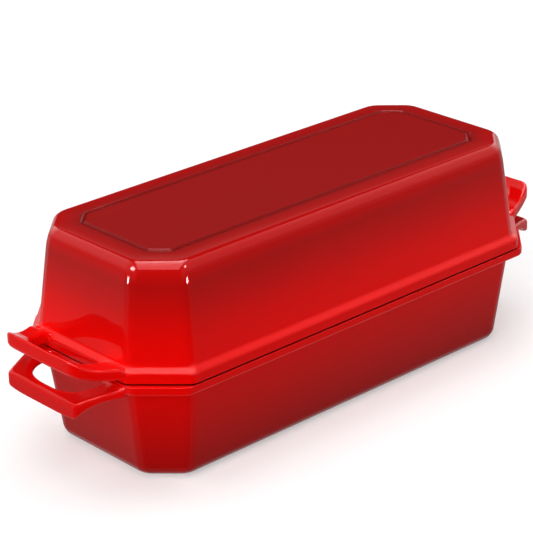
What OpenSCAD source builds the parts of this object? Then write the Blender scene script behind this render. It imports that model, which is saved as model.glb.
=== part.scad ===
// Lidded cast iron loaf pan: a pan and a deep lid, both with an eight-sided outline, a
// rim all round and a loop handle cast on at each end. The lid rests on the pan's rim.
// X runs along the pan, Y across it, Z up from the table, with the origin at the middle
// of the base.

/* [Rim] */
// Length over the rim, without the handles
rim_l = 288; // [240:1:340]
// Width over the rim
rim_w = 123; // [104:1:150]
// How much of each side the cut corner of the lid's rim takes off
corner_cut = 24.5; // [20:0.5:30]
// How much smaller that cut is on the pan's rim, which shows under the lid's corners
pan_cut_less = 3.5; // [0:0.5:4]
// Height of the rim's edge on the pan
pan_edge_h = 5.4; // [4.4:0.1:7]
// Height of the rim's edge on the lid
lid_edge_h = 7; // [5.5:0.1:8.5]
// Radius of the rim's corners, seen from above
rim_corner_r = 6; // [3:0.5:9]
// Radius of the pan's rim at its underside
pan_edge_r = 1.8; // [0.8:0.1:2]
// Radius of the lid's rim at its top
lid_edge_r = 2.8; // [2:0.1:3]
// Radius of the edges that meet at the seam
seam_r = 0.8; // [0.4:0.1:1.2]

/* [Pan] */
// Height from the table to the seam
pan_h = 59; // [46:0.5:75]
// Width of the ledge that the rim makes over the pan's wall
pan_ledge = 5.5; // [4.8:0.1:7]
// Slope of the pan's wall, from the upright
pan_draft = 7.7; // [4:0.1:10]
// Thickness of the pan's wall
pan_wall = 4; // [3:0.1:5]
// Thickness of the pan's floor
pan_floor = 4.5; // [3.5:0.1:6]
// Radius of the pan's upright edges
pan_corner_r = 9; // [6:0.5:11]
// Radius between the wall and the base, outside
pan_base_r = 8; // [4:0.5:11]
// Radius between the wall and the floor, inside
pan_inside_r = 10; // [6:0.5:14]
// Radius under the rim
pan_root_r = 2.6; // [1.5:0.1:3]

/* [Lid] */
// Height from the seam to the lid's top
lid_h = 60.2; // [48:0.1:75]
// Width of the ledge that the rim makes round the lid's wall
lid_ledge = 3.1; // [2.7:0.1:4]
// Slope of the lid's wall, from the upright
lid_draft = 7.7; // [4:0.1:10]
// Thickness of the lid's wall
lid_wall = 4; // [3:0.1:4.4]
// Thickness of the lid's top
lid_roof = 4.5; // [3.5:0.1:6]
// Radius of the lid's upright edges
lid_corner_r = 10; // [6:0.5:11]
// Radius between the lid's wall and its top, outside
lid_top_r = 8.5; // [5:0.5:10]
// Radius between the lid's wall and its top, inside
lid_inside_r = 7; // [4:0.5:10]
// Radius where the lid's wall grows out of the rim
lid_root_r = 5.5; // [4.5:0.1:6.5]

/* [Groove in the lid's top] */
// Distance from the rim's outline in to the middle of the groove
groove_in = 27.6; // [24:0.1:32]
// Width of the groove
groove_w = 2.5; // [1.6:0.1:3.5]
// Depth of the groove
groove_depth = 0.8; // [0.4:0.1:1]
// Radius of the groove's corners
groove_corner_r = 1.5; // [1.4:0.1:4]

/* [Locating lip on the pan, inside the lid] */
// Height of the lip above the seam
lip_h = 2.5; // [1.5:0.1:4]
// Clearance between the lip and the inside of the lid
lip_gap = 0.9; // [0.4:0.1:1.2]
// Radius of the lip's edges
lip_r = 0.8; // [0.3:0.1:0.8]

/* [Handles] */
// How far each handle reaches past the rim
handle_out = 24; // [20:0.5:28]
// Width over the outer corners of the grip
grip_w = 54.5; // [46:0.5:60]
// Radius of the outer corners of the lid's grips
lid_grip_corner_r = 6.5; // [3:0.5:9]
// Radius of the outer corners of the pan's grips
pan_grip_corner_r = 2.5; // [2:0.5:9]
// Width of the finger slot
slot_w = 46; // [40:0.5:50]
// Thickness of the grip, from the slot to the outside
grip_t = 4.8; // [4.2:0.1:6]
// How square the slot's outline is: 2 is an ellipse
slot_square = 2.8; // [2.2:0.1:3.4]
// Radius of the edges of the handles
handle_edge_r = 2; // [1:0.1:2.2]
// Height of the underside of the lid's arms above the seam
lid_arm_low = 2.5; // [1:0.1:3.5]
// Height of the top of the lid's arms above the seam
lid_arm_high = 9.3; // [8.5:0.1:11]
// Height of the underside of the lid's grips above the seam
lid_grip_low = 8; // [5:0.1:10]
// Height of the top of the lid's grips above the seam
lid_grip_high = 17; // [15:0.1:20]
// Depth of the top of the pan's arms below the seam
pan_arm_high = 2.7; // [1:0.1:3.5]
// Depth of the underside of the pan's arms below the seam
pan_arm_low = 7.8; // [7.5:0.1:9.5]
// Depth of the top of the pan's grips below the seam
pan_grip_high = 6.2; // [4:0.1:8]
// Depth of the underside of the pan's grips below the seam
pan_grip_low = 16.3; // [14:0.1:19]
// How much higher the underside of the lid's grips is at their corners than in the middle
lid_grip_lift = 1; // [0:0.1:2]
// How much higher the underside of the pan's grips is at their corners than in the middle
pan_grip_lift = 1.8; // [0:0.1:2]
// Length over which the arms part from the rim
arm_blend = 6.5; // [4:0.5:8]

/* [Smoothness] */
// Steps in each corner of the outline
corner_steps = 4; // [2:1:6]
// Steps in each rounded edge
edge_steps = 4; // [2:1:6]
// Steps along each half of a handle
handle_steps = 14; // [10:1:18]

/* [Hidden] */
enamel = [0.83, 0.06, 0.06];
half_l = rim_l / 2;
half_w = rim_w / 2;
// An inward shift of the outline takes this much of it off the cut at each corner
cut_per_in = 2 - sqrt(2);
pan_under = pan_h - pan_edge_h;
lid_top = pan_h + lid_h;
lid_shoulder = pan_h + lid_edge_h;
// Share of a wall's thickness that hides the ends of the handles
root_hidden = 0.6;
root_in_pan = pan_ledge + pan_wall * root_hidden;
root_in_lid = lid_ledge + lid_wall * root_hidden;
// How far those ends turn in from the rim's corner, a little more than the wall's own
// corner does, so that they don't run along its middle
root_turn = 31;
// Distance kept between the ends of the handles and the seam
seam_clear = 0.4;
slot_out = handle_out - grip_t;
// Shares of a handle's steps that lie along its arm and round the corner of its grip
arm_share = 0.4;
corner_share = 0.3;
// Steps that carry a handle from inside the wall out to the rim's outline
root_steps = 2;
// Sweeps of the underside and the top of each handle: the height at its root, along its
// arms and at its grip, the power that says how late the arms bend to the grip, and the
// lift of the grip's corners
lid_low = [pan_h + seam_clear, pan_h + lid_arm_low, pan_h + lid_grip_low, 1.8, lid_grip_lift];
lid_high = [lid_shoulder, pan_h + lid_arm_high, pan_h + lid_grip_high, 2.6, 0];
pan_low = [pan_h - pan_arm_low, pan_h - pan_arm_low, pan_h - pan_grip_low, 3.4, pan_grip_lift];
pan_high = [pan_h - seam_clear, pan_h - pan_arm_high, pan_h - pan_grip_high, 1.8, 0];

// Points of an arc round centre c in a profile. A profile's first value is the distance
// in from the rim's outline and its second the height, so 180 degrees points outwards.
function arc(c, r, from, to) =
    [for (i = [0:edge_steps]) let (a = from + (to - from) * i / edge_steps) c + r * [cos(a), sin(a)]];

// Corner i of the eight-sided outline shifted inwards by d, for a corner cut of cut
function corner(i, d, cut) =
    let (x = half_l - d, y = half_w - d, k = cut - cut_per_in * d)
    [[x, y - k], [x - k, y], [k - x, y], [-x, y - k],
     [-x, k - y], [k - x, -y], [x - k, -y], [x, k - y]][i];

// One closed outline of the casting at inset d and height z, with corners of radius r
function ring(d, z, r, cut) =
    [for (i = [0:7], j = [0:corner_steps])
        let (a = 45 * (i + j / corner_steps), p = corner(i, d + r, cut) + r * [cos(a), sin(a)])
        [p[0], p[1], z]];

// Outlines for a run of profile points that share a corner radius and a cut
function rings(profile, r, cut = corner_cut) = [for (p = profile) ring(p[0], p[1], r, cut)];

// Closed skin through a list of outlines, capped at both ends
module skin(outlines) {
    n = len(outlines[0]);
    last = len(outlines) - 1;
    walls = [for (i = [0:last - 1], j = [0:n - 1]) let (k = (j + 1) % n)
        each [[i * n + j, (i + 1) * n + j, (i + 1) * n + k], [i * n + j, (i + 1) * n + k, i * n + k]]];
    polyhedron(
        points = [for (o = outlines) each o],
        faces = concat([[for (j = [0:n - 1]) j]], walls, [[for (j = [n - 1:-1:0]) last * n + j]])
    );
}

// Inset of the pan's outer wall at height z, and of its inner wall
function pan_out(z) = pan_ledge + tan(pan_draft) * (pan_under - z);
function pan_in(z) = pan_out(z) + pan_wall / cos(pan_draft);

// Inset of the lid's outer wall at height z, and of its inner wall
function lid_out(z) = lid_ledge + tan(lid_draft) * (z - lid_shoulder);
function lid_in(z) = lid_out(z) + lid_wall / cos(lid_draft);

// The pan's wall from the base up to the underside of the rim
function pan_outside() =
    let (a = pan_draft,
         root_z = pan_under - pan_root_r,
         root_foot = root_z + pan_root_r * sin(a))
    concat(
        arc([pan_out(0) + pan_base_r * (1 / cos(a) - tan(a)), pan_base_r], pan_base_r, 270, 180 + a),
        arc([pan_out(root_foot) - pan_root_r * cos(a), root_z], pan_root_r, a, 90));

// The pan's rim edge, from its underside to the seam
function pan_rim() = concat(
    arc([pan_edge_r, pan_under + pan_edge_r], pan_edge_r, 270, 180),
    arc([seam_r, pan_h - seam_r], seam_r, 180, 90));

// The locating lip, and the inside of the pan down to its floor
function pan_inside() =
    let (a = pan_draft,
         top = pan_h + lip_h,
         lip_d = lid_in(pan_h) + lip_gap,
         lip_foot = top - lip_r + lip_r * sin(a),
         floor_foot = pan_floor + pan_inside_r * (1 - sin(a)))
    concat(
        [[lip_d, pan_h]],
        arc([lip_d + lip_r, top - lip_r], lip_r, 180, 90),
        arc([pan_in(lip_foot) - lip_r * cos(a), top - lip_r], lip_r, 90, a),
        arc([pan_in(floor_foot) + pan_inside_r * cos(a), pan_floor + pan_inside_r], pan_inside_r, 180 + a, 270));

// The inside of the lid, from its ceiling down to the seam
function lid_inside() =
    let (a = lid_draft,
         ceiling = lid_top - lid_roof,
         top_z = ceiling - lid_inside_r,
         seam_z = pan_h + seam_r)
    concat(
        arc([lid_in(top_z + lid_inside_r * sin(a)) + lid_inside_r * cos(a), top_z], lid_inside_r, 90, 180 - a),
        arc([lid_in(seam_z - seam_r * sin(a)) - seam_r * cos(a), seam_z], seam_r, -a, -90));

// The lid's rim edge and the hollow curve that carries it into the wall. The two arcs
// touch where the edge has turned by the angle turn.
function lid_rim() =
    let (a = lid_draft,
         edge = [lid_edge_r, lid_shoulder - lid_edge_r],
         out = [-cos(a), sin(a)],
         gap = (edge - [lid_ledge, lid_shoulder]) * out,
         turn = a + acos((lid_root_r - gap) / (lid_edge_r + lid_root_r)),
         root = edge + (lid_edge_r + lid_root_r) * [-cos(turn), sin(turn)])
    concat(
        arc([seam_r, pan_h + seam_r], seam_r, 270, 180),
        arc(edge, lid_edge_r, 180, 180 - turn),
        arc(root, lid_root_r, -turn, -a));

// The lid's rounded top edge
function lid_top_edge() =
    let (a = lid_draft, z = lid_top - lid_top_r)
    arc([lid_out(z + lid_top_r * sin(a)) + lid_top_r * cos(a), z], lid_top_r, 180 - a, 90);

// The groove cut in the lid's top, an arc as wide and as deep as the groove
function lid_groove() =
    let (r = (pow(groove_w / 2, 2) + pow(groove_depth, 2)) / (2 * groove_depth),
         a = asin(groove_w / 2 / r))
    arc([groove_in, lid_top + r - groove_depth], r, 270 - a, 270 + a);

// Plan of a handle, as distance out from the rim's end and distance from the middle.
// Outer outline of one half: out of the wall's corner to the rim's corner, along the arm,
// round the grip's corner and along the grip.
function handle_outside(root_in, corner_r) =
    let (root = half_w - corner_cut,
         arm = atan((root - grip_w / 2) / handle_out),
         tangent = corner_r * tan((90 - arm) / 2),
         centre = [handle_out - corner_r, grip_w / 2 - tangent],
         arm_end = centre + corner_r * [sin(arm), cos(arm)],
         start = [-root_in, root - root_in * tan(root_turn)],
         n = handle_steps - root_steps,
         bend = round(n * corner_share),
         along = round(n * arm_share),
         rest = n - bend - along)
    concat(
        [for (i = [0:root_steps - 1]) start + ([0, root] - start) * i / root_steps],
        [for (i = [0:along]) [0, root] + (arm_end - [0, root]) * i / along],
        [for (i = [1:bend]) let (a = (90 - arm) * (1 - i / bend)) centre + corner_r * [cos(a), sin(a)]],
        [for (i = [1:rest]) [handle_out, centre[1] * (1 - i / rest)]]);

// Inner outline of one half: into the wall, then a squared ellipse round the slot
function handle_inside(root_in) =
    let (n = handle_steps - root_steps)
    concat(
        [for (i = [0:root_steps - 1]) [-root_in * (1 - i / root_steps), slot_w / 2]],
        [for (i = [0:n]) let (a = 90 * i / n)
            [slot_out * pow(sin(a), 2 / slot_square), slot_w / 2 * pow(cos(a), 2 / slot_square)]]);

// Height of a sweep over the plan point p: a smooth step from the root to the arm, half
// of it inside the rim, then a bend to the grip, which rises towards its corners
function swept(sweep, p) =
    let (s = min(max(p[0] / arm_blend + 0.5, 0), 1),
         step = s * s * (3 - 2 * s),
         out = max(p[0], 0) / handle_out,
         side = min(abs(p[1]) / (grip_w / 2), 1))
    sweep[0] + (sweep[1] - sweep[0]) * step + (sweep[2] - sweep[1]) * pow(out, sweep[3])
        + sweep[4] * pow(out, 6) * pow(side, 4);

// Section of a handle between an outer and an inner plan point: a rounded rectangle
// whose corners follow the sweeps low and high
function handle_section(outer, inner, low, high) =
    let (w = norm(inner - outer), r = handle_edge_r)
    [for (q = [0:3], j = [0:edge_steps])
        let (a = 90 * (q + j / edge_steps),
             across = (q == 0 || q == 3 ? w - r : r) + r * cos(a),
             p = outer + (inner - outer) * across / w,
             z = q < 2 ? swept(high, p) - r : swept(low, p) + r)
        [p[0], p[1], z + r * sin(a)]];

// One loop handle, on the end of the rim at +X
module handle(root_in, corner_r, low, high) {
    out = handle_outside(root_in, corner_r);
    in = handle_inside(root_in);
    half = [for (i = [0:handle_steps]) handle_section(out[i], in[i], low, high)];
    other = [for (section = half) [for (p = section) [p[0], -p[1], p[2]]]];
    translate([half_l, 0, 0]) skin(concat(other, [for (i = [handle_steps - 1:-1:0]) half[i]]));
}

module both_ends() {
    children();
    mirror([1, 0, 0]) children();
}

module pan() {
    color(enamel) union() {
        skin(concat(
            rings(pan_outside(), pan_corner_r),
            rings(pan_rim(), rim_corner_r, corner_cut - pan_cut_less),
            rings(pan_inside(), pan_corner_r - pan_wall)));
        both_ends() handle(root_in_pan, pan_grip_corner_r, pan_low, pan_high);
    }
}

module lid() {
    color(enamel) union() {
        skin(concat(
            rings(lid_inside(), lid_corner_r - lid_wall),
            rings(lid_rim(), rim_corner_r),
            rings(lid_top_edge(), lid_corner_r),
            rings(lid_groove(), groove_corner_r)));
        both_ends() handle(root_in_lid, lid_grip_corner_r, lid_low, lid_high);
    }
}

pan();
lid();
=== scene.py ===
import math
from collections import namedtuple

import bpy
import numpy as np
from mathutils import Matrix, Vector


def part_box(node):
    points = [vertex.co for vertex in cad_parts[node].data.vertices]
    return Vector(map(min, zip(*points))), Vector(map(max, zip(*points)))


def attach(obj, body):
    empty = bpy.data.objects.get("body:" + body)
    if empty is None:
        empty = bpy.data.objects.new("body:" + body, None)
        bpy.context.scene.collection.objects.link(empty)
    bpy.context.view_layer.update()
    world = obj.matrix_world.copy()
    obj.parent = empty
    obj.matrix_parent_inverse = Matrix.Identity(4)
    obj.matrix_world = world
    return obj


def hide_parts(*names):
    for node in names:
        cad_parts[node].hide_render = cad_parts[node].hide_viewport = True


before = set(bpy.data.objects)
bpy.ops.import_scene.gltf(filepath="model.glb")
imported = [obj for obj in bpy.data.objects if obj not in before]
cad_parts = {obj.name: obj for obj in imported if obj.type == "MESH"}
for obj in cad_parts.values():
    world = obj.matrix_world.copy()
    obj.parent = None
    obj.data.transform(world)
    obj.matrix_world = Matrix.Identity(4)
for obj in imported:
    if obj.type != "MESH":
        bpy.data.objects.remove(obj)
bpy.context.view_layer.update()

bl_info = {
    "name": "Lidded loaf pan",
    "version": (1, 0, 0),
    "blender": (4, 5, 0),
    "location": "3D View > Sidebar > Loaf pan",
    "description": "Makes an enamelled cast iron loaf pan with its lid, and the stage it stands on",
    "category": "Add Mesh",
}

MM = 0.001
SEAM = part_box("lid")[0][2]
LID_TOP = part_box("lid")[1][2]
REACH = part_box("lid")[1][0]
HALF_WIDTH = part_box("lid")[1][1]


def length(name, about, value, low, high):
    """A size in metres, written here in millimetres."""
    return bpy.props.FloatProperty(name=name, description=about, default=value * MM,
                                   min=low * MM, max=high * MM, unit="LENGTH", precision=4)


def angle(name, about, value, low, high):
    """An angle, written here in degrees."""
    return bpy.props.FloatProperty(name=name, description=about, default=math.radians(value),
                                   min=math.radians(low), max=math.radians(high), unit="ROTATION")


def linear(code):
    """The linear red, green and blue of an sRGB hex colour."""
    parts = [int(code[i:i + 2], 16) / 255 for i in (1, 3, 5)]
    return tuple(c / 12.92 if c <= 0.04045 else ((c + 0.055) / 1.055) ** 2.4 for c in parts)


def colour(name, about, code):
    """A colour, written here as its sRGB hex code."""
    return bpy.props.FloatVectorProperty(name=name, description=about, subtype="COLOR", size=3,
                                         default=linear(code), min=0, max=1)


class LoafPanSizes(bpy.types.PropertyGroup):
    """Sizes of the two castings without their handles"""
    cut: length("Corner cut", "How much of each side the cut corner takes off", 24.5, 20, 30)
    pan_cut_less: length("Less on the pan", "How much smaller the pan's corner cut is", 3.5, 0, 4)
    handle_out: length("Handle reach", "How far a handle reaches past the rim", 24, 20, 28)
    pan_edge: length("Pan rim height", "Height of the rim's edge on the pan", 5.4, 4.4, 7)
    lid_edge: length("Lid rim height", "Height of the rim's edge on the lid", 7, 5.5, 8.5)
    rim_corner: length("Rim corner", "Radius of the rim's corners from above", 6, 3, 9)
    pan_rim_edge: length("Pan rim edge", "Radius of the pan's rim at its underside", 1.8, 0.8, 2)
    lid_rim_edge: length("Lid rim edge", "Radius of the lid's rim at its top", 2.5, 2, 3)
    lid_ledge_tilt: angle("Lid ledge tilt", "Slope of the ledge over the lid's rim", 36, 30, 45)
    seam_edge: length("Seam edge", "Radius of the enamel's edges at the seam", 0.4, 0.2, 0.6)
    seam_step: length("Seam step", "How far the enamel stands back from the seam", 0.42, 0.2, 0.6)
    seam_in: length("Seam step width", "From the outline in to the faces that meet", 1.4, 1, 2)
    pan_ledge: length("Pan ledge", "Ledge of the rim over the pan's wall", 5.5, 4.8, 7)
    pan_draft: angle("Pan draft", "Slope of the pan's wall", 7.7, 4, 10)
    pan_corner: length("Pan corner", "Radius of the pan's upright edges", 9, 6, 11)
    pan_base: length("Base edge", "Radius between the wall and the base", 8, 4, 11)
    pan_root: length("Pan root", "Radius under the pan's rim", 2.6, 1.5, 3)
    wall: length("Wall", "Thickness of the walls", 4, 3, 4.4)
    floor: length("Floor", "Thickness of the pan's floor and the lid's roof", 4.5, 3.5, 6)
    floor_edge: length("Floor edge", "Radius between the wall and the floor inside", 10, 6, 14)
    lid_ledge: length("Lid ledge", "Ledge of the rim round the lid's wall", 3.1, 2.7, 4)
    lid_draft: angle("Lid draft", "Slope of the lid's wall", 7.7, 4, 10)
    lid_corner: length("Lid corner", "Radius of the lid's upright edges", 10, 6, 11)
    lid_top_edge: length("Lid top edge", "Radius between the lid's wall and top", 6.8, 5, 8)
    lid_shoulder: length("Lid shoulder", "Larger radius where the wall turns in", 30, 20, 40)
    lid_shoulder_turn: angle("Lid shoulder turn", "Slope where it meets the top edge", 20, 14, 24)
    lid_crown: angle("Lid crown", "Fall of the top outside the groove, at the top edge", 4, 1, 6)
    lid_root: length("Lid root", "Radius where the lid's wall leaves the rim", 2.7, 2, 3.4)
    groove_in: length("Groove inset", "From the rim's outline in to the groove", 27.6, 24, 32)
    groove_width: length("Groove width", "Width of the groove in the lid's top", 2.5, 1.6, 3.5)
    groove_depth: length("Groove depth", "Depth of the groove in the lid's top", 0.8, 0.4, 1)
    lip_height: length("Lip height", "Height of the locating lip above the seam", 2.5, 1.5, 4)
    lip_gap: length("Lip clearance", "Clearance between the lip and the lid", 0.9, 0.4, 1.2)
    lip_edge: length("Lip edge", "Radius of the lip's edges", 0.8, 0.3, 0.8)


class LoafPanHandles(bpy.types.PropertyGroup):
    """Sizes of the loop handles"""
    grip_width: length("Grip width", "Width over the outer corners of the grip", 54.5, 46, 60)
    lid_grip_corner: length("Lid grip corner", "Radius of its outer corners from above", 6.5, 3, 9)
    pan_grip_corner: length("Pan grip corner", "Radius of its outer corners from above", 2.5, 2, 9)
    slot_width: length("Slot width", "Width of the finger slot", 46, 40, 50)
    grip: length("Grip thickness", "From the slot to the outside", 4.8, 4.2, 6)
    slot_square: bpy.props.FloatProperty(name="Slot squareness", default=2.8, min=2.2, max=3.4,
                                         description="Power of the slot's outline: 2 is an ellipse")
    edge: length("Handle edge", "Radius of the edges of the handles", 2, 1, 2.4)
    lid_lift: length("Lid grip lift", "Rise of the grip's underside to its corners", 1, 0, 2)
    pan_lift: length("Pan grip lift", "Rise of the grip's underside to its corners", 1.8, 0, 2)
    blend: length("Arm blend", "Length over which the arms part from the rim", 6.5, 4, 8)
    lid_arm_low: length("Lid arm underside", "Above the seam", 2.5, 1, 3.5)
    lid_arm_high: length("Lid arm top", "Above the seam", 9.3, 8.5, 11)
    lid_grip_low: length("Lid grip underside", "Above the seam", 8, 5, 10)
    lid_grip_high: length("Lid grip top", "Above the seam", 17, 15, 20)
    pan_arm_high: length("Pan arm top", "Below the seam", 2.7, 1, 3.5)
    pan_arm_low: length("Pan arm underside", "Below the seam", 7.8, 7.5, 9.5)
    pan_grip_high: length("Pan grip top", "Below the seam", 6.2, 4, 8)
    pan_grip_low: length("Pan grip underside", "Below the seam", 16.3, 14, 19)
    seam_clear: length("Seam clearance", "Kept between a handle's root and the seam", 0.6, 0.5, 1)
    fillet: length("Joint fillet", "Reach of the cast fillet where a handle joins", 5, 2, 8)


class LoafPanFinish(bpy.types.PropertyGroup):
    """Colours of the enamel"""
    # The red enamel's colour is painted shade between these two reds: the belt red at the middle,
    # the darker red at the top and the foot
    belt: colour("Belt red", "Enamel of the middle, next to the rims", "#DC0604")
    shaded_red: colour("Deep red", "Enamel of the top and the foot", "#8A0F0E")
    bare: colour("Rim black", "Matt ground coat on the faces that meet", "#0B0A0A")
    inside: colour("Inside cream", "Enamel of the inside", "#E9DFC9")


# Signs and cuts of the eight corners of the outline, counter-clockwise from +X
SIGN_X = np.array([1, 1, -1, -1, -1, -1, 1, 1])
SIGN_Y = np.array([1, 1, 1, 1, -1, -1, -1, -1])
CUT_X = np.array([0, 1, 1, 0, 0, 1, 1, 0])
CUT_Y = 1 - CUT_X
CUT_PER_IN = 2 - math.sqrt(2)
CORNER_STEPS = 9
# Columns along a side: the long sides are flat and need few, the ends carry the handles
LONG_COLUMNS, END_COLUMNS, CUT_COLUMNS = 12, 72, 28
# The share of a side at which one more column holds the flat's shading off the corner
FLAT_FROM = 1 / 600
ARC_STEPS = 9
# The same on a profile, from the end of an arc, and from a flat's edge in to its cap
SUPPORT = 0.5 * MM
CAP_IN = 2 * MM
SLIVER = 0.1 * MM


def outline_columns():
    """The columns of an outline as four arrays: the corner, the next corner, the direction
    of the rounding, and the share of the way from one corner to the next."""
    first, second, turn, share = [], [], [], []
    for n in range(8):
        count = (CUT_COLUMNS, LONG_COLUMNS, CUT_COLUMNS, END_COLUMNS)[n % 4]
        inner = np.linspace(0, 1, count + 1)[1:-1]
        inner = np.concatenate([[FLAT_FROM], inner, [1 - FLAT_FROM]])
        arc_turn = np.radians(45 * (n + np.linspace(0, 1, CORNER_STEPS + 1)))
        first += [n] * (len(arc_turn) + len(inner))
        second += [n] * len(arc_turn) + [(n + 1) % 8] * len(inner)
        turn += [*arc_turn, *([math.radians(45 * (n + 1))] * len(inner))]
        share += [0.0] * len(arc_turn) + [*inner]
    return np.array(first), np.array(second), np.array(turn), np.array(share)


def outline(rows, half_length, half_width):
    """Grid of points over rows of (inset d, height z, corner radius r, corner cut c). The
    outline at inset d is the chamfered rectangle shifted inwards by d + r, grown by a disc
    of radius r: P = C(d + r) + r (cos t, sin t), with the cut shrinking by (2 - sqrt 2) d."""
    inset, height, radius, cut = (rows[:, [k]] for k in range(4))
    first, second, turn, share = outline_columns()
    x, y = half_length - inset - radius, half_width - inset - radius
    k = cut - CUT_PER_IN * (inset + radius)
    ends = [(SIGN_X[n] * (x - CUT_X[n] * k), SIGN_Y[n] * (y - CUT_Y[n] * k))
            for n in (first, second)]
    place_x = ends[0][0] + share * (ends[1][0] - ends[0][0]) + radius * np.cos(turn)
    place_y = ends[0][1] + share * (ends[1][1] - ends[0][1]) + radius * np.sin(turn)
    return np.stack([place_x, place_y, np.broadcast_to(height, place_x.shape)], -1)


def arc(centre, radius, start, end, steps=ARC_STEPS):
    """Points centre + radius (cos t, sin t) of a profile, t in degrees from start to end.
    The first value is the distance in from the outline, so 180 degrees points outwards."""
    t = np.radians(np.linspace(start, end, steps + 1))[:, None]
    return np.array(centre) + radius * np.hstack([np.cos(t), np.sin(t)])


def rows(points, radius, cut):
    """Profile points with the corner radius and corner cut they share."""
    points = np.atleast_2d(points)
    return np.column_stack([points, np.full(len(points), radius), np.full(len(points), cut)])


def shares(gap, step, growth):
    """Where to put rows along a straight run: steps that grow from its fine end, so that
    step (growth^n - 1) / (growth - 1) = gap gives their count n."""
    count = max(int(math.log(1 + gap / step * (growth - 1), growth)), 1)
    spans = growth ** np.arange(count)
    return np.cumsum(spans)[:-1] / spans.sum()


def joined(*runs, step=1.0 * MM, growth=1.18, fine="start"):
    """Runs of rows one after another, with rows filled in along the straight between them.
    A string between two runs says which end of that straight is fine: start or end."""
    out = [runs[0]]
    for run in runs[1:]:
        if isinstance(run, str):
            fine = run
            continue
        a, b = out[-1][-1], run[0]
        gap = float(np.hypot(*(b[:2] - a[:2])))
        if gap > 3 * SUPPORT:
            t = shares(gap, step, growth)
            t = 1 - t[::-1] if fine == "end" else t
            edge = SUPPORT / gap
            t = t[(t > 1.5 * edge) & (t < 1 - 1.5 * edge)]
            t = np.unique(np.concatenate([[edge], t, [1 - edge]]))
            out.append(a + (b - a) * t[:, None])
        out.append(run)
    return np.vstack(out)


def pan_rows(s):
    """The pan's profile from the base out, up the wall, over the rim and lip and down
    inside, and the row numbers where the black seat and the cream inside begin. At height z
    the wall, drafted by a, stands ledge + tan(a) (underside of the rim - z) in from the
    outline, and its inside wall / cos(a) further. Every edge is an arc tangent to the two
    lines it joins."""
    a = s.pan_draft
    under = SEAM - s.pan_edge
    out_at = lambda z: s.pan_ledge + math.tan(a) * (under - z)
    in_at = lambda z: out_at(z) + s.wall / math.cos(a)
    lid_in = s.lid_ledge + math.tan(s.lid_draft) * (-s.lid_edge) + s.wall / math.cos(s.lid_draft)
    degrees = math.degrees(a)
    root_z = under - s.pan_root
    foot = root_z + s.pan_root * math.sin(a)
    base = arc([out_at(0) + s.pan_base * (1 / math.cos(a) - math.tan(a)), s.pan_base], s.pan_base,
               270, 180 + degrees, steps=14)
    root = arc([out_at(foot) - s.pan_root * math.cos(a), root_z], s.pan_root, degrees, 90)
    cut = s.cut - s.pan_cut_less
    edge = arc([s.pan_rim_edge, under + s.pan_rim_edge], s.pan_rim_edge, 270, 180)
    lip_z = SEAM - s.seam_step
    seam = arc([s.seam_edge, lip_z - s.seam_edge], s.seam_edge, 180, 90, steps=6)
    step = [[s.seam_in, lip_z], [s.seam_in, SEAM]]
    top = SEAM + s.lip_height
    lip_d = lid_in + s.lip_gap
    lip_foot = top - s.lip_edge * (1 - math.sin(a))
    floor_foot = s.floor + s.floor_edge * (1 - math.sin(a))
    inner_r = s.pan_corner - s.wall
    lip_out = arc([lip_d + s.lip_edge, top - s.lip_edge], s.lip_edge, 180, 90, steps=5)
    lip_in = arc([in_at(lip_foot) - s.lip_edge * math.cos(a), top - s.lip_edge], s.lip_edge,
                 90, degrees, steps=5)
    floor = arc([in_at(floor_foot) + s.floor_edge * math.cos(a), s.floor + s.floor_edge],
                s.floor_edge, 180 + degrees, 270)
    outside = joined(rows([base[0][0] + CAP_IN, 0], s.pan_corner, s.cut),
                     rows(base, s.pan_corner, s.cut), "end", rows(root, s.pan_corner, s.cut),
                     "start", rows(edge, s.rim_corner, cut), rows(seam, s.rim_corner, cut))
    # The lid's rim is cut further at its corners, and there the pan's enamel shows beyond it
    bare = len(outside)
    outside = np.vstack([outside, rows([s.seam_edge + SLIVER, lip_z], s.rim_corner, s.cut),
                         rows(step, s.rim_corner, s.cut)])
    inside = joined(rows([lip_d, SEAM], inner_r, s.cut), rows(lip_out, inner_r, s.cut),
                    rows(lip_in, inner_r, s.cut), rows(floor, inner_r, s.cut), growth=1.4)
    whole = joined(outside, inside, step=2 * MM)
    return whole, bare, len(whole) - len(inside)


# Radius between the lid's wall and its ceiling, and of the groove's corners from above
ROOF_EDGE = 7 * MM
GROOVE_CORNER = 1.5 * MM


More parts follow.
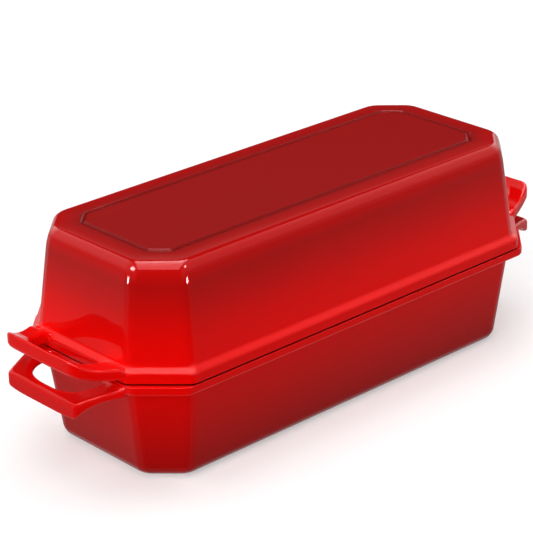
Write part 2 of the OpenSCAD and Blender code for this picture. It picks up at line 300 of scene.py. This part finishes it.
def lid_rows(s):
    """The lid's profile from the ceiling down inside, round the rim, up the wall and in
    over the groove, and the row numbers where the black seat and the red outside begin. At
    height z the wall, drafted by a, stands ledge + tan(a) (z - top of the rim) in from the
    outline, and its inside wall / cos(a) further. The groove is an arc of radius
    ((width / 2)^2 + depth^2) / (2 depth)."""
    a = s.lid_draft
    degrees = math.degrees(a)
    shoulder = SEAM + s.lid_edge
    out_at = lambda z: s.lid_ledge + math.tan(a) * (z - shoulder)
    in_at = lambda z: out_at(z) + s.wall / math.cos(a)
    inner_corner = s.lid_corner - s.wall
    roof_z = LID_TOP - s.floor - ROOF_EDGE
    roof = arc([in_at(roof_z + ROOF_EDGE * math.sin(a)) + ROOF_EDGE * math.cos(a), roof_z],
               ROOF_EDGE, 90, 180 - degrees)
    seam_z = SEAM + s.seam_edge
    mouth = arc([in_at(seam_z - s.seam_edge * math.sin(a)) - s.seam_edge * math.cos(a), seam_z],
                s.seam_edge, -degrees, -90, steps=5)
    lip_z = SEAM + s.seam_step
    step = [[s.seam_in, SEAM], [s.seam_in, lip_z]]
    seam = arc([s.seam_edge, lip_z + s.seam_edge], s.seam_edge, 270, 180, steps=6)
    edge_c = np.array([s.lid_rim_edge, shoulder - s.lid_rim_edge])
    turn = math.pi / 2 - s.lid_ledge_tilt
    # The root's centre is one radius from the ledge's line and one from the wall's line
    faces = np.array([[-math.cos(turn), math.sin(turn)], [-math.cos(a), math.sin(a)]])
    far = [faces[0] @ edge_c + s.lid_rim_edge, faces[1] @ [s.lid_ledge, shoulder]]
    root_c = np.linalg.solve(faces, np.array(far) + s.lid_root)
    turn = math.degrees(turn)
    edge = arc(edge_c, s.lid_rim_edge, 180, 180 - turn)
    root = arc(root_c, s.lid_root, -turn, -degrees, steps=12)
    # Shoulder, top edge and crown are arcs that meet tangent, from the wall to the groove
    r1, r2, turn, fall = s.lid_top_edge, s.lid_shoulder, s.lid_shoulder_turn, s.lid_crown
    crown_in = s.groove_in - s.groove_width / 2 - 2 * SUPPORT
    wall_far = faces[1] @ [s.lid_ledge, shoulder] - r2 - (r1 - r2) * math.cos(turn - a)
    spread = ((wall_far + math.cos(a) * crown_in - math.sin(a) * (LID_TOP - r1))
              / (math.cos(a) * math.sin(fall) - math.sin(a) * (1 - math.cos(fall))))
    crown_c = np.array([crown_in, LID_TOP - r1 - spread])
    edge_top_c = crown_c + spread * np.array([-math.sin(fall), math.cos(fall)])
    shoulder_c = edge_top_c + (r1 - r2) * np.array([-math.cos(turn), math.sin(turn)])
    turn, fall = math.degrees(turn), math.degrees(fall)
    top = np.vstack([arc(shoulder_c, r2, 180 - degrees, 180 - turn, steps=8)[:-1],
                     arc(edge_top_c, r1, 180 - turn, 90 + fall, steps=16)[:-1],
                     arc(crown_c, r1 + spread, 90 + fall, 90, steps=8)])
    r = ((s.groove_width / 2) ** 2 + s.groove_depth ** 2) / (2 * s.groove_depth)
    half = math.degrees(math.asin(s.groove_width / 2 / r))
    groove = arc([s.groove_in, LID_TOP + r - s.groove_depth], r, 270 - half, 270 + half,
                 steps=10)
    inside = joined(rows(roof, inner_corner, s.cut), rows(mouth, inner_corner, s.cut), growth=1.4)
    outside = joined(rows(np.vstack([step, seam]), s.rim_corner, s.cut),
                     rows(edge, s.rim_corner, s.cut), rows(root, s.lid_corner, s.cut),
                     rows(top, s.lid_corner, s.cut), rows(groove, GROOVE_CORNER, s.cut),
                     rows([groove[-1][0] + CAP_IN, LID_TOP], GROOVE_CORNER, s.cut))
    whole = joined(inside, outside, step=2 * MM)
    return whole, len(inside) - 1, len(whole) - len(outside) + len(step)


# Heights of a handle's underside or top at its root, arm and grip, the power of the curve
# from arm to grip, and how much the grip's corners lift
Sweep = namedtuple("Sweep", "root arm grip power lift", defaults=[0])


def swept(sweep, plan, h, reach):
    """Height of a handle's sweep over plan points: a smooth step 3 s^2 - 2 s^3 from the
    root's height to the arm's, then a power curve to the grip's, which rises to its corners
    by lift times out^6 side^4."""
    s = np.clip(plan[..., 0] / h.blend + 0.5, 0, 1)
    out = np.maximum(plan[..., 0], 0) / reach
    side = np.clip(np.abs(plan[..., 1]) / (h.grip_width / 2), 0, 1)
    return (sweep.root + (sweep.arm - sweep.root) * s * s * (3 - 2 * s)
            + (sweep.grip - sweep.arm) * out ** sweep.power + sweep.lift * out ** 6 * side ** 4)


# Sections along half a handle: through the wall, the arm, the corner and the grip
ROOT_STEPS, ARM_STEPS, TURN_STEPS, GRIP_STEPS = 8, 26, 10, 22


def handle_plan(s, h, root_in, corner):
    """Outer and inner outline of one half of a handle from its root to its middle, as
    arrays of (distance out from the rim's end, distance from the middle). Outside: wall's
    corner, rim's corner, straight arm, arc, straight grip. Inside: straight out of the
    wall, then the squared ellipse |x/a|^p + |y/b|^p = 1."""
    reach, corner_y = s.handle_out, HALF_WIDTH - s.cut
    arm = math.atan((corner_y - h.grip_width / 2) / reach)
    tangent = corner * math.tan((math.pi / 2 - arm) / 2)
    centre = np.array([reach - corner, h.grip_width / 2 - tangent])
    arm_end = centre + corner * np.array([math.sin(arm), math.cos(arm)])
    run = lambda a, b, n: np.linspace(a, b, n + 1)[:-1]
    t = np.linspace(math.pi / 2 - arm, 0, TURN_STEPS + 1)[:-1, None]
    rim_corner = [0, corner_y]
    outer = np.vstack([run([-root_in, corner_y - root_in * math.tan(math.pi / 8)], rim_corner,
                           ROOT_STEPS),
                       run(rim_corner, arm_end, ARM_STEPS),
                       centre + corner * np.hstack([np.cos(t), np.sin(t)]),
                       run([reach, centre[1]], [reach, 0], GRIP_STEPS), [[reach, 0]]])
    t = np.linspace(0, math.pi / 2, ARM_STEPS + TURN_STEPS + GRIP_STEPS + 1)[:, None]
    power = 2 / h.slot_square
    inner = np.vstack([run([-root_in, h.slot_width / 2], [0, h.slot_width / 2], ROOT_STEPS),
                       np.hstack([(reach - h.grip) * np.sin(t) ** power,
                                  h.slot_width / 2 * np.abs(np.cos(t)) ** power])])
    return outer, inner


def section_pattern(corner_steps=7, across=9, upright=7):
    """One turn round a rounded rectangle as four arrays: the place across and upright of
    the corner's centre, from 0 to 1, and the cosine and sine of the rounding."""
    u, v, t = [], [], []
    corners = [(1, 1), (0, 1), (0, 0), (1, 0)]
    for q, (cu, cv) in enumerate(corners):
        turn = np.radians(90 * (q + np.linspace(0, 1, corner_steps + 1)))
        nu, nv = corners[(q + 1) % 4]
        side = np.linspace(0, 1, (across if q % 2 == 0 else upright) + 1)[1:-1]
        u += [*([cu] * len(turn)), *(cu + (nu - cu) * side)]
        v += [*([cv] * len(turn)), *(cv + (nv - cv) * side)]
        t += [*turn, *([turn[-1]] * len(side))]
    return np.array(u), np.array(v), np.cos(t), np.sin(t)


def handle_grid(s, h, root_in, corner, low, high, half_length):
    """Grid of a loop handle: a rounded rectangle carried between the outer and the inner
    outline, whose underside and top follow the sweeps low and high."""
    outer, inner = handle_plan(s, h, root_in, corner)
    u, v, c, sn = section_pattern()
    r = h.edge
    width = np.linalg.norm(inner - outer, axis=1)[:, None]
    across = r + u * (width - 2 * r) + r * c
    plan = outer[:, None, :] + (inner - outer)[:, None, :] * (across / width)[..., None]
    bottom, top = (swept(sweep, plan, h, s.handle_out) for sweep in (low, high))
    height = bottom + r + v * (top - bottom - 2 * r) + r * sn
    half = np.dstack([half_length + plan[..., 0], plan[..., 1], height])
    other = half * [1, -1, 1]
    return np.vstack([other, half[-2::-1]])


def skin(name, grid, coats, kinds=None):
    """A closed mesh over a grid whose columns run round and whose first and last rows are
    capped with one flat face each. The array kinds gives the coat of each band of faces."""
    count, around = grid.shape[:2]
    r, c = np.meshgrid(np.arange(count - 1), np.arange(around), indexing="ij")
    n = (c + 1) % around
    # The point of row r and column c has the number r * around + c
    quads = [r * around + c, r * around + n, (r + 1) * around + n, (r + 1) * around + c]
    faces = np.stack(quads, -1).reshape(-1, 4).tolist()
    faces += [list(range(around - 1, -1, -1)), list(range((count - 1) * around, count * around))]
    mesh = bpy.data.meshes.new(name)
    mesh.from_pydata(grid.reshape(-1, 3).tolist(), [], faces)
    for coat in coats:
        mesh.materials.append(coat)
    if kinds is not None:
        index = np.concatenate([np.repeat(kinds, around), [kinds[0], kinds[-1]]])
        mesh.polygons.foreach_set("material_index", index.astype(np.int32))
    mesh.validate()
    piece = bpy.data.objects.new(name, mesh)
    bpy.context.scene.collection.objects.link(piece)
    return piece


def field(items, name, width, kind=float):
    """One attribute of many mesh elements as an array."""
    values = np.empty(len(items) * width, kind)
    items.foreach_get(name, values)
    return values.reshape(-1, width) if width > 1 else values


# An edge that bends more than this is a joint, and one batch of points is measured at a time
JOINT_BEND = math.radians(24)
BATCH = 2000


def soften_joints(mesh, reach, inner_x, passes=60):
    """The cast fillet at the handles. Points near a hollow edge slide half way to the mean
    of their neighbours, again and again, and less far in the outer half of the reach. Each
    then keeps only the part of its move that points out of the metal, times 1 - (1 - w)^2
    with w = 1.5 (1 - distance / reach), at most 1."""
    place = field(mesh.vertices, "co", 3)
    normal = field(mesh.vertices, "normal", 3)
    edges = field(mesh.edges, "vertices", 2, np.int32)
    loop_edge = field(mesh.loops, "edge_index", 1, np.int32)
    face_normal = field(mesh.polygons, "normal", 3)
    face_centre = field(mesh.polygons, "center", 3)
    corners = field(mesh.polygons, "loop_total", 1, np.int32)
    owner = np.repeat(np.arange(len(mesh.polygons)), corners)
    sides = np.bincount(loop_edge, minlength=len(edges))
    first = np.concatenate([[0], np.cumsum(sides)[:-1]])[sides == 2]
    by_edge = owner[np.argsort(loop_edge, kind="stable")]
    left, right = by_edge[first], by_edge[first + 1]
    one, two = face_normal[left], face_normal[right]
    bend = np.arccos(np.clip((one * two).sum(1), -1, 1))
    hollow = ((face_centre[right] - face_centre[left]) * one).sum(1) > 0
    paired = edges[sides == 2]
    near = (np.abs(place[paired][..., 0]) > inner_x).all(1)
    crease = place[np.unique(paired[(bend > JOINT_BEND) & hollow & near])]
    around = np.flatnonzero(np.abs(place[:, 0]) > inner_x - reach)
    distance = np.full(len(place), reach)
    for start in range(0, len(around), BATCH):
        some = around[start:start + BATCH]
        distance[some] = np.linalg.norm(place[some][:, None] - crease, axis=2).min(1)
    weight = np.clip(1 - distance / reach, 0, 1)[:, None]
    live = (weight[edges[:, 0], 0] > 0) | (weight[edges[:, 1], 0] > 0)
    a, b = edges[live].T
    count = np.bincount(np.concatenate([a, b]), minlength=len(place))[:, None]
    moved = place.copy()
    for _ in range(passes):
        total = np.zeros_like(moved)
        np.add.at(total, a, moved[b])
        np.add.at(total, b, moved[a])
        mean = total / np.maximum(count, 1)
        moved += np.minimum(weight * 2, 1) * 0.5 * (mean - moved)
    rise = np.maximum(((moved - place) * normal).sum(1), 0)[:, None]
    place += normal * rise * (1 - (1 - np.minimum(weight * 1.5, 1)) ** 2)
    mesh.vertices.foreach_set("co", place.ravel())
    mesh.update()


def cast_together(name, body, grid, coats, s, h, half_length):
    """The casting as one closed mesh: the body and a handle over the grid at each end
    joined by the exact Boolean, and the joints filled like a casting's."""
    handles = [skin("handle_right", grid, coats),
               skin("handle_left", grid[::-1] * [-1, 1, 1], coats)]
    for handle in handles:
        join = body.modifiers.new("Join", "BOOLEAN")
        join.operation, join.solver, join.object = "UNION", "EXACT", handle
    graph = bpy.context.evaluated_depsgraph_get()
    mesh = bpy.data.meshes.new_from_object(body.evaluated_get(graph))
    mesh.name = name
    for old in (body, *handles):
        bpy.data.objects.remove(old, do_unlink=True)
    # The joints are looked for from 1 mm inside the outer face of the pan's end wall
    soften_joints(mesh, h.fillet, half_length - s.pan_ledge - 1 * MM)
    mesh.shade_smooth()
    piece = bpy.data.objects.new(name, mesh)
    bpy.context.scene.collection.objects.link(piece)
    return piece


def grey(value):
    """The linear colour whose red, green and blue are that value."""
    return (value, value, value)


def node(tree, kind, links=(), stops=(), blend="LINEAR", **settings):
    """Adds a node with its settings, the links given as input and output socket, and the
    stops of its ramp given as (position, linear colour)."""
    made = tree.nodes.new(kind)
    for key, value in settings.items():
        if hasattr(made, key):
            setattr(made, key, value)
        else:
            made.inputs[key.replace("_", " ")].default_value = value
    for key, socket in dict(links).items():
        tree.links.new(socket, made.inputs[key])
    if stops:
        band = made.color_ramp
        band.interpolation = blend
        while len(band.elements) < len(stops):
            band.elements.new(0.5)
        for element, (position, tint) in zip(band.elements, stops):
            element.position, element.color = position, (*tint, 1)
    return made


def new_material(name):
    """An empty material of that name, and its node tree."""
    material = bpy.data.materials.new(name)
    material.use_nodes = True
    material.node_tree.nodes.clear()
    return material, material.node_tree


# How much darker the groove's painted shade is than the red of the top and the foot
GROOVE_SHADE = 0.72


def red_enamel(name, finish, shaded_groove=False):
    """Red vitreous enamel, sprayed on cast iron and fired: glassy, with painted shade in its
    colour: brightest at the belt and darker to the top and the foot. A lighter band over the lid's
    top edge is painted light and sheen, and the groove is darkened with painted shade. The iron
    under it leaves the glass very slightly wavy. Its IOR is below glass's 1.5, because in the
    photograph the walls mirror the pale floor only faintly, and what they mirror is tinted red."""
    material, tree = new_material(name)
    belt, shaded_red = np.array(finish.belt), np.array(finish.shaded_red)
    where = node(tree, "ShaderNodeTexCoord").outputs["Object"]
    # In the groove the colour is one darker red, painted shade with duller reflections; elsewhere
    # it follows the painted shade of the belt ramp
    if shaded_groove:
        base = node(tree, "ShaderNodeRGB").outputs["Color"]
        base.default_value = (*(shaded_red * GROOVE_SHADE), 1)
    else:
        height = node(tree, "ShaderNodeSeparateXYZ", {"Vector": where}).outputs["Z"]
        # Clouds about 40 mm wide move the shades by up to 8 mm, and by 4 mm on average,
        # which the end of their scale allows for
        cloud = node(tree, "ShaderNodeTexNoise", {"Vector": where}, Scale=26.0, Detail=2.0)
        drift = node(tree, "ShaderNodeMath", {0: cloud.outputs["Fac"], 2: height},
                     operation="MULTIPLY_ADD")
        drift.inputs[1].default_value = 8 * MM
        share = node(tree, "ShaderNodeMapRange", {"Value": drift.outputs[0]},
                     From_Max=LID_TOP + 4 * MM)
        # From the foot to the top, painted shade: the share of the belt's red in the darker red
        shades = ((0.0, 0.06), (0.16, 0.24), (0.38, 0.64), (0.5, 0.92), (0.66, 1.0),
                  (0.8, 0.56), (1.0, 0.0))
        coat = node(tree, "ShaderNodeValToRGB", {"Fac": share.outputs[0]}, blend="B_SPLINE",
                    stops=[(at, shaded_red + (belt - shaded_red) * red) for at, red in shades])
        # A lighter band of painted light and sheen over the lid's top edge begins just under the
        # flat top and is gone 12 mm below it
        fall = node(tree, "ShaderNodeMapRange", {"Value": height}, From_Min=LID_TOP,
                    From_Max=LID_TOP - 12 * MM)
        painted_edge_light = node(tree, "ShaderNodeValToRGB", {"Fac": fall.outputs[0]}, stops=[
            (0.0, grey(0.0)), (0.004, grey(0.15)), (0.03, grey(0.28)), (0.06, grey(0.37)),
            (0.45, grey(0.37)), (1.0, grey(0.0))])
        mixed = node(tree, "ShaderNodeMix", {0: painted_edge_light.outputs["Color"], 6: coat.outputs["Color"]},
                     data_type="RGBA")
        mixed.inputs[7].default_value = (*belt, 1)
        base = mixed.outputs[2]
    # Waves about 9 mm long and at most 0.12 mm deep
    wave = node(tree, "ShaderNodeTexNoise", {"Vector": where}, Scale=110.0, Detail=1.0)
    bump = node(tree, "ShaderNodeBump", {"Height": wave.outputs["Fac"]}, Strength=0.25,
                Distance=0.12 * MM)
    shader = node(tree, "ShaderNodeBsdfPrincipled", {"Base Color": base, "Normal": bump.outputs[0]},
                  Roughness=0.04, IOR=1.16, Specular_Tint=(*linear("#FF9595"), 1),
                  Specular_IOR_Level=0.2 if shaded_groove else 0.5)
    node(tree, "ShaderNodeOutputMaterial", {"Surface": shader.outputs["BSDF"]})
    return material


def ground_coat(name, finish):
    """Matt black ground coat, brushed on the faces that meet and left unglazed: it mirrors
    nothing, so that the seam is a plain dark line."""
    material, tree = new_material(name)
    where = node(tree, "ShaderNodeTexCoord").outputs["Object"]
    # Brushed grain about 0.7 mm wide and at most 0.05 mm deep
    grain = node(tree, "ShaderNodeTexNoise", {"Vector": where}, Scale=1500.0, Detail=2.0)
    bump = node(tree, "ShaderNodeBump", {"Height": grain.outputs["Fac"]}, Strength=0.4,
                Distance=0.05 * MM)
    shader = node(tree, "ShaderNodeBsdfPrincipled", {"Normal": bump.outputs["Normal"]},
                  Base_Color=(*finish.bare, 1), Roughness=0.9, Specular_IOR_Level=0.0)
    node(tree, "ShaderNodeOutputMaterial", {"Surface": shader.outputs["BSDF"]})
    return material


def cream_enamel(name, finish):
    """Cream vitreous enamel of the inside, glossy, with the faint cloudiness of a coat
    dipped and drained by hand."""
    material, tree = new_material(name)
    where = node(tree, "ShaderNodeTexCoord").outputs["Object"]
    # Clouds about 33 mm wide, 7 % darker at most
    cloud = node(tree, "ShaderNodeTexNoise", {"Vector": where}, Scale=30.0, Detail=3.0)
    cream = np.array(finish.inside)
    tint = node(tree, "ShaderNodeValToRGB", {"Fac": cloud.outputs["Fac"]}, blend="B_SPLINE",
                stops=[(0.3, cream * 0.93), (0.7, cream)])
    shader = node(tree, "ShaderNodeBsdfPrincipled", {"Base Color": tint.outputs["Color"]},
                  Roughness=0.14, IOR=1.5)
    node(tree, "ShaderNodeOutputMaterial", {"Surface": shader.outputs["BSDF"]})
    return material


def shared(name, make, finish):
    """The material of that name, made only once."""
    return bpy.data.materials.get(name) or make(name, finish)


def coats_of(casting, finish):
    """The coats of a casting: red outside, black on its seat and cream inside."""
    return [red_enamel("red_vitreous_enamel_" + casting, finish),
            shared("matt_black_ground_coat", ground_coat, finish),
            shared("cream_vitreous_enamel", cream_enamel, finish)]


# The coats' numbers on a casting
RED, BLACK, CREAM, GROOVE = range(4)
# A handle's root ends at this share of the wall's thickness, so that the two overlap
ROOT_IN_WALL = 0.6


def half_rim(s):
    """Half the length over the rim: the box's end less the reach of a handle."""
    return REACH - s.handle_out


def settings_of(scene):
    """The sizes, the handles' sizes and the finish that the panel holds."""
    return [getattr(scene, name) for name in GROUPS]


class LOAFPAN_OT_pan(bpy.types.Operator):
    """Make the pan with its rim, locating lip and two loop handles"""
    bl_idname = "loafpan.pan"
    bl_label = "Make the pan"

    def execute(self, context):
        s, h, finish = settings_of(context.scene)
        half_length = half_rim(s)
        profile, seat, inside = pan_rows(s)
        kinds = np.full(len(profile) - 1, RED)
        kinds[seat:inside] = BLACK
        kinds[inside:] = CREAM
        coats = coats_of("pan", finish)
        body = skin("pan_body", outline(profile, half_length, HALF_WIDTH), coats, kinds)
        root_in = s.pan_ledge + ROOT_IN_WALL * s.wall
        low = Sweep(root=SEAM - h.pan_arm_low, arm=SEAM - h.pan_arm_low, grip=SEAM - h.pan_grip_low,
                    power=3.4, lift=h.pan_lift)
        high = Sweep(root=SEAM - h.seam_clear, arm=SEAM - h.pan_arm_high,
                     grip=SEAM - h.pan_grip_high, power=1.8)
        grid = handle_grid(s, h, root_in, h.pan_grip_corner, low, high, half_length)
        piece = cast_together("enamelled_pan", body, grid, coats, s, h, half_length)
        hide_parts("pan")
        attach(piece, "root")
        return {"FINISHED"}


class LOAFPAN_OT_lid(bpy.types.Operator):
    """Make the deep lid with its groove and two loop handles"""
    bl_idname = "loafpan.lid"
    bl_label = "Make the lid"

    def execute(self, context):
        s, h, finish = settings_of(context.scene)
        half_length = half_rim(s)
        profile, seat, outside = lid_rows(s)
        kinds = np.full(len(profile) - 1, CREAM)
        kinds[seat:outside] = BLACK
        kinds[outside:] = RED
        # The groove's faces take the red with painted shade in the groove
        inset, height = ((profile[1:] + profile[:-1]) / 2)[:, :2].T
        in_groove = np.abs(inset - s.groove_in) < s.groove_width / 2
        kinds[in_groove & (height > LID_TOP - s.floor / 2)] = GROOVE
        coats = coats_of("lid", finish)
        coats.append(red_enamel("red_vitreous_enamel_groove_shade", finish, shaded_groove=True))
        body = skin("lid_body", outline(profile, half_length, HALF_WIDTH), coats, kinds)
        root_in = s.lid_ledge + ROOT_IN_WALL * s.wall
        low = Sweep(root=SEAM + h.seam_clear, arm=SEAM + h.lid_arm_low, grip=SEAM + h.lid_grip_low,
                    power=1.8, lift=h.lid_lift)
        high = Sweep(root=SEAM + s.lid_edge, arm=SEAM + h.lid_arm_high, grip=SEAM + h.lid_grip_high,
                     power=2.6)
        grid = handle_grid(s, h, root_in, h.lid_grip_corner, low, high, half_length)
        piece = cast_together("enamelled_lid", body, grid, coats, s, h, half_length)
        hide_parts("lid")
        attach(piece, "root")
        return {"FINISHED"}


# Where the lens stood and looked, worked out from the straight edges in the photograph:
# metres from the part's origin, a direction, radians and millimetres
LENS_PLACE = Vector((-0.7360, -0.7905, 0.5373))
LENS_AHEAD = Vector((0.6181, 0.6770, -0.3995))
LENS_ROLL = -0.0213
LENS_LENGTH = 147.1
# Half the floor's width, so far that no low view finds its end
FLOOR_REACH = 60.0
# How bright the paper glows to the lens, and in reflections
PAPER_SEEN = 0.36
PAPER_MIRRORED = 2.8
# The walls of the room stand to both sides along this direction, and shine so much
WALL_SIDE = (0.75, -0.66, 0)
WALL_LIGHT = 5.0


def studio_paper(name):
    """White studio paper: matt, so it takes a soft shadow. The lens sees it lifted to white.
    In reflections it is pale to both sides and dark towards the lens, where the studio is
    unlit, with a bright edge between: the lines down the enamel's corners."""
    material, tree = new_material(name)
    seen = node(tree, "ShaderNodeLightPath").outputs
    direct = node(tree, "ShaderNodeMath", operation="MAXIMUM",
                  links={0: seen["Is Camera Ray"], 1: seen["Is Transmission Ray"]})
    lift = node(tree, "ShaderNodeMath", {0: direct.outputs[0]}, operation="MULTIPLY")
    lift.inputs[1].default_value = PAPER_SEEN
    back = node(tree, "ShaderNodeNewGeometry").outputs["Incoming"]
    towards = node(tree, "ShaderNodeVectorMath", {0: back}, operation="DOT_PRODUCT")
    towards.inputs[1].default_value = -Vector((*LENS_PLACE.xy, 0)).normalized()
    share = node(tree, "ShaderNodeMapRange", {"Value": towards.outputs["Value"]}, From_Min=-1.0)
    # By the cosine to the lens's side, from -1 away from it to 1 straight at it
    sides = node(tree, "ShaderNodeValToRGB", {"Fac": share.outputs[0]}, stops=[
        ((cosine + 1) / 2, grey(value)) for cosine, value in (
            (-0.6, 0.3), (-0.5, 1.0), (-0.4, 0.5), (0.35, 0.5), (0.47, 1.0), (0.56, 0.2),
            (0.7, 0.02))])
    down = node(tree, "ShaderNodeSeparateXYZ", {"Vector": back}).outputs["Z"]
    steep = node(tree, "ShaderNodeValToRGB", {"Fac": down}, blend="EASE",
                 stops=[(0.15, grey(1.0)), (0.5, grey(0.5))])
    paper = node(tree, "ShaderNodeMath", {0: sides.outputs["Color"], 1: steep.outputs["Color"]},
                 operation="MULTIPLY")
    mirrored = node(tree, "ShaderNodeMath", {0: paper.outputs[0], 1: seen["Is Glossy Ray"]},
                    operation="MULTIPLY")
    glow = node(tree, "ShaderNodeMath", {0: mirrored.outputs[0], 2: lift.outputs[0]},
                operation="MULTIPLY_ADD")
    glow.inputs[1].default_value = PAPER_MIRRORED
    base = node(tree, "ShaderNodeMix", {0: seen["Is Glossy Ray"]}, data_type="RGBA")
    base.inputs[6].default_value = (*linear("#D4D4D4"), 1)
    base.inputs[7].default_value = (*linear("#000000"), 1)
    shader = node(tree, "ShaderNodeBsdfPrincipled",
                  {"Base Color": base.outputs[2], "Emission Strength": glow.outputs[0]},
                  Emission_Color=(*linear("#FFFFFF"), 1), Roughness=1.0, Specular_IOR_Level=0.0)
    node(tree, "ShaderNodeOutputMaterial", {"Surface": shader.outputs["BSDF"]})
    return material


def studio_air(name):
    """The room's light, brighter from above. In reflections the room is dim before and
    behind the object, and has a tall pale wall on each side, which the enamel shows as the
    sheen over the lid's top edge: wall times height times WALL_LIGHT, plus the dim room."""
    world = bpy.data.worlds.new(name)
    world.use_nodes = True
    tree = world.node_tree
    sky = node(tree, "ShaderNodeTexCoord").outputs["Generated"]
    rise = node(tree, "ShaderNodeSeparateXYZ", {"Vector": sky}).outputs["Z"]
    across = node(tree, "ShaderNodeVectorMath", {0: sky}, operation="DOT_PRODUCT")
    across.inputs[1].default_value = WALL_SIDE
    beside = node(tree, "ShaderNodeMath", {0: across.outputs["Value"]}, operation="ABSOLUTE")
    light, dim, tall, wall = (
        node(tree, "ShaderNodeValToRGB", {"Fac": value}, blend=blend,
             stops=[(at, grey(g)) for at, g in stops]).outputs["Color"]
        for value, blend, stops in (
            (rise, "B_SPLINE", ((0.0, 0.12), (0.4, 0.16), (0.65, 0.5), (0.85, 0.9), (1.0, 1.0))),
            (rise, "EASE", ((0.0, 0.03), (0.3, 0.06), (0.42, 0.2), (0.52, 0.9), (0.6, 0.3),
                            (0.66, 0.03))),
            (rise, "EASE", ((0.0, 0.2), (0.16, 0.5), (0.4, 1.0))),
            (beside.outputs[0], "EASE", ((0.33, 0.0), (0.38, 1.0)))))
    pale = node(tree, "ShaderNodeVectorMath", {0: wall, 1: tall}, operation="MULTIPLY")
    mirrored = node(tree, "ShaderNodeVectorMath", {0: pale.outputs["Vector"], 2: dim},
                    operation="MULTIPLY_ADD")
    mirrored.inputs[1].default_value = grey(WALL_LIGHT)
    glossy = node(tree, "ShaderNodeLightPath").outputs["Is Glossy Ray"]
    air = node(tree, "ShaderNodeMix", {0: glossy, 6: light, 7: mirrored.outputs["Vector"]},
               data_type="RGBA")
    tree.links.new(air.outputs[2], tree.nodes["Background"].inputs["Color"])
    return world


def lamp(name, data, place, direction, **seen):
    """Hangs a lamp at that place, shining in that direction, seen only as told."""
    made = bpy.data.objects.new(name, data)
    made.location = place
    made.rotation_euler = direction.to_track_quat("-Z", "Y").to_euler()
    for key, value in seen.items():
        setattr(made, "visible_" + key, value)
    bpy.context.scene.collection.objects.link(made)


# Soft daylight: name, strength, spread in degrees and direction
SUNS = (
    ("overhead", 0.95, 40, (-0.05, -0.12, -1)),
    ("key", 1.85, 60, (0.88, 0.43, -0.40)),
)
# Lamps that only reflections see, each set where the photograph has its highlight: name,
# azimuth and elevation in degrees, distance, width and height in metres, and radiance
GLINT_CENTRE = Vector((-0.1, -0.05, 0.1))
GLINTS = (
    ("overhead_box", -133, 86, 1.2, 0.8, 2.1, 36),
    ("left_strip", 163, 0, 0.78, 0.15, 0.18, 400),
    ("right_strip", -80, 0, 0.78, 0.15, 0.18, 400),
    ("left_disc", 172, 45, 1.2, 0.4, 0.4, 400),
    ("right_disc", -55, 55, 1.2, 0.26, 0.26, 260),
)


class LOAFPAN_OT_stage(bpy.types.Operator):
    """Set the pale floor, the studio lamps and the camera"""
    bl_idname = "loafpan.stage"
    bl_label = "Set the stage"

    def execute(self, context):
        scene = context.scene
        mesh = bpy.data.meshes.new("studio_floor")
        corners = [(x * FLOOR_REACH, y * FLOOR_REACH, 0)
                   for x, y in ((-1, -1), (1, -1), (1, 1), (-1, 1))]
        mesh.from_pydata(corners, [], [(0, 1, 2, 3)])
        mesh.materials.append(studio_paper("white_studio_paper"))
        floor = bpy.data.objects.new("studio_floor", mesh)
        scene.collection.objects.link(floor)
        scene.world = studio_air("studio_air")

        for name, strength, spread, direction in SUNS:
            sun = bpy.data.lights.new(name, "SUN")
            sun.energy, sun.angle = strength, math.radians(spread)
            lamp(name, sun, (0, 0, 0), Vector(direction), glossy=False)
        for name, azimuth, elevation, distance, width, height, radiance in GLINTS:
            a, b = math.radians(azimuth), math.radians(elevation)
            ray = Vector((math.cos(b) * math.cos(a), math.cos(b) * math.sin(a), math.sin(b)))
            box = bpy.data.lights.new(name, "AREA")
            box.shape, box.size, box.size_y = "RECTANGLE", width, height
            # A flat lamp's power is its radiance times pi times its area
            box.energy = radiance * math.pi * width * height
            lamp(name, box, GLINT_CENTRE + distance * ray, -ray, diffuse=False, camera=False)

        lens = bpy.data.cameras.new("lens")
        lens.lens, lens.sensor_width, lens.clip_start = LENS_LENGTH, 36.0, 0.01
        camera = bpy.data.objects.new("lens", lens)
        turn = LENS_AHEAD.to_track_quat("-Z", "Y").to_matrix() @ Matrix.Rotation(LENS_ROLL, 3, "Z")
        camera.matrix_world = Matrix.Translation(LENS_PLACE) @ turn.to_4x4()
        scene.collection.objects.link(camera)
        scene.camera = camera
        scene.view_settings.view_transform = "Standard"
        return {"FINISHED"}


class LOAFPAN_PT_panel(bpy.types.Panel):
    """Lists the pieces and the stage"""
    bl_label = "Loaf pan"
    bl_idname = "LOAFPAN_PT_panel"
    bl_space_type = "VIEW_3D"
    bl_region_type = "UI"
    bl_category = "Loaf pan"

    def draw(self, context):
        """Draws a button for each operator and the settings of each group."""
        for operator in (LOAFPAN_OT_pan, LOAFPAN_OT_lid, LOAFPAN_OT_stage):
            self.layout.operator(operator.bl_idname)
        for group in GROUPS:
            settings = getattr(context.scene, group)
            for key in settings.__annotations__:
                self.layout.prop(settings, key)


GROUPS = {"loafpan_sizes": LoafPanSizes, "loafpan_handles": LoafPanHandles,
          "loafpan_finish": LoafPanFinish}
CLASSES = (*GROUPS.values(), LOAFPAN_OT_pan, LOAFPAN_OT_lid, LOAFPAN_OT_stage, LOAFPAN_PT_panel)


def register():
    """Registers the classes and puts the groups of settings on the scene."""
    for cls in CLASSES:
        bpy.utils.register_class(cls)
    for name, group in GROUPS.items():
        setattr(bpy.types.Scene, name, bpy.props.PointerProperty(type=group))


def unregister():
    """Takes back what register did, in the opposite order."""
    for name in GROUPS:
        delattr(bpy.types.Scene, name)
    for cls in reversed(CLASSES):
        bpy.utils.unregister_class(cls)


def main():
    """Makes the stage and both castings."""
    register()
    bpy.ops.loafpan.stage()
    bpy.ops.loafpan.pan()
    bpy.ops.loafpan.lid()


if __name__ == "__main__":
    main()
